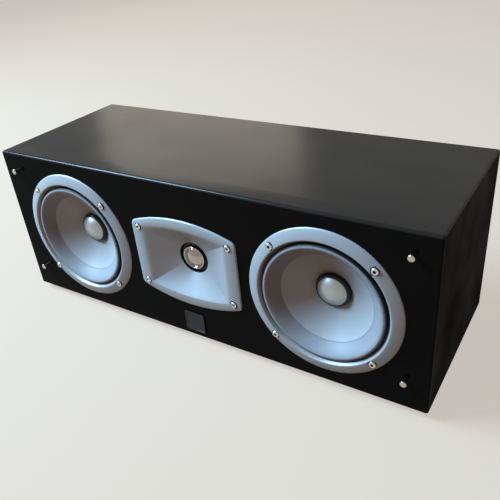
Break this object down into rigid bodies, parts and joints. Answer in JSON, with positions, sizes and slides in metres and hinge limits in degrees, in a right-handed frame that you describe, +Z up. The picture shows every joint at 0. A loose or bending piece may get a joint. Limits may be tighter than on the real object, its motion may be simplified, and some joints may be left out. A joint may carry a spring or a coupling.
{
  "type": "center channel speaker",
  "caption": "Wide closed-box center channel speaker in gloss black with silver-ringed woofers beside a horn-loaded metal dome tweeter, and a recessed rear terminal cup.",
  "frame": {"origin": "on the standing surface, under the middle of the overall box", "axes": "+X to the viewer's right, -Y out of the front, +Z up"},
  "size_m": [0.46, 0.1736, 0.171],
  "materials": {
    "gloss_black_board": "black piano lacquer on board",
    "black_rear_board": "matte black on board",
    "silver_trim": "satin silver paint",
    "silver_cone": "silver-grey coated cone",
    "grey_rubber": "matte grey-blue rubber",
    "black_gloss_plastic": "glossy black",
    "cap_silver": "satin silver dome",
    "dome_metal": "polished metal dome",
    "spider_cloth": "resin-dipped cloth",
    "coil_copper": "enamelled copper wire",
    "plate_steel": "zinc-plated steel",
    "ferrite": "pressed ferrite",
    "basket_paint": "black paint",
    "screw_steel": "bright plated steel",
    "peg_metal": "bright plated peg",
    "black_rubber": "matte black rubber",
    "wadding": "loose polyester fibre",
    "black_plastic": "fine-textured black",
    "card_laminate": "brown laminate",
    "capacitor_film": "blue film",
    "resistor_cement": "white cement",
    "post_gold": "gold plate",
    "red_plastic": "red moulding",
    "black_knob_plastic": "black moulding"
  },
  "bodies": {
    "cabinet": {"badge_plate": "black_gloss_plastic", "bottom_panel": "gloss_black_board", "crossover_capacitors": "capacitor_film", "crossover_card": "card_laminate", "crossover_choke": "coil_copper", "crossover_resistor": "resistor_cement", "crossover_spacers": "black_plastic", "damping_wadding": "wadding", "front_baffle": "gloss_black_board", "grille_pegs": "peg_metal", "left_side_panel": "gloss_black_board", "left_woofer_basket": "basket_paint", "left_woofer_gasket": "black_rubber", "left_woofer_magnet": "ferrite", "left_woofer_screws": "screw_steel", "left_woofer_spider": "spider_cloth", "left_woofer_surround": "grey_rubber", "left_woofer_top_plate": "plate_steel", "left_woofer_trim_ring": "silver_trim", "left_woofer_yoke": "plate_steel", "rear_panel": "black_rear_board", "right_side_panel": "gloss_black_board", "right_woofer_basket": "basket_paint", "right_woofer_gasket": "black_rubber", "right_woofer_magnet": "ferrite", "right_woofer_screws": "screw_steel", "right_woofer_spider": "spider_cloth", "right_woofer_surround": "grey_rubber", "right_woofer_top_plate": "plate_steel", "right_woofer_trim_ring": "silver_trim", "right_woofer_yoke": "plate_steel", "rubber_feet": "black_rubber", "terminal_cup": "black_plastic", "terminal_cup_screws": "plate_steel", "terminal_nuts": "plate_steel", "terminal_posts": "post_gold", "top_panel": "gloss_black_board", "tweeter_magnet": "ferrite", "tweeter_rear_can": "plate_steel", "tweeter_screws": "screw_steel", "tweeter_suspension": "black_rubber", "tweeter_throat_ring": "silver_trim", "tweeter_top_plate": "plate_steel", "tweeter_waveguide": "silver_trim", "tweeter_yoke": "plate_steel"},
    "left_cone_assembly": {"left_woofer_cone": "silver_cone", "left_woofer_cap_collar": "black_gloss_plastic", "left_woofer_dust_cap": "cap_silver", "left_woofer_voice_coil": "coil_copper"},
    "right_cone_assembly": {"right_woofer_cone": "silver_cone", "right_woofer_cap_collar": "black_gloss_plastic", "right_woofer_dust_cap": "cap_silver", "right_woofer_voice_coil": "coil_copper"},
    "dome_assembly": {"tweeter_dome": "dome_metal", "tweeter_voice_coil": "coil_copper"},
    "red_clamp": {"red_washer": "post_gold"},
    "red_cap": {"red_knob": "red_plastic"},
    "black_clamp": {"black_washer": "post_gold"},
    "black_cap": {"black_knob": "black_knob_plastic"}
  },
  "joints": [
    {"name": "left_woofer_excursion", "type": "slide", "parent": "cabinet", "child": "left_cone_assembly", "axis": [0, -1, 0], "range_m": [-0.003, 0.003], "stiffness_N_per_m": 1200, "deforming": ["left_woofer_surround", "left_woofer_spider"]},
    {"name": "right_woofer_excursion", "type": "slide", "parent": "cabinet", "child": "right_cone_assembly", "axis": [0, -1, 0], "range_m": [-0.003, 0.003], "stiffness_N_per_m": 1200, "deforming": ["right_woofer_surround", "right_woofer_spider"]},
    {"name": "tweeter_excursion", "type": "slide", "parent": "cabinet", "child": "dome_assembly", "axis": [0, -1, 0], "range_m": [-0.0003, 0.0003], "stiffness_N_per_m": 400, "deforming": ["tweeter_suspension"]},
    {"name": "red_clamp_travel", "type": "slide", "parent": "cabinet", "child": "red_clamp", "axis": [0, 1, 0], "range_m": [0, 0.003]},
    {"name": "red_knob_turn", "type": "hinge", "parent": "red_clamp", "child": "red_cap", "pos_m": [0.0095, 0.07275, 0.0885], "axis": [0, 1, 0], "range_deg": [0, 1080]},
    {"name": "black_clamp_travel", "type": "slide", "parent": "cabinet", "child": "black_clamp", "axis": [0, 1, 0], "range_m": [0, 0.003]},
    {"name": "black_knob_turn", "type": "hinge", "parent": "black_clamp", "child": "black_cap", "pos_m": [-0.0095, 0.07275, 0.0885], "axis": [0, 1, 0], "range_deg": [0, 1080]}
  ],
  "couplings": [
    {"joint": "red_knob_turn", "follows": "red_clamp_travel", "rad_per_m": 6283.2},
    {"joint": "black_knob_turn", "follows": "black_clamp_travel", "rad_per_m": 6283.2}
  ]
}
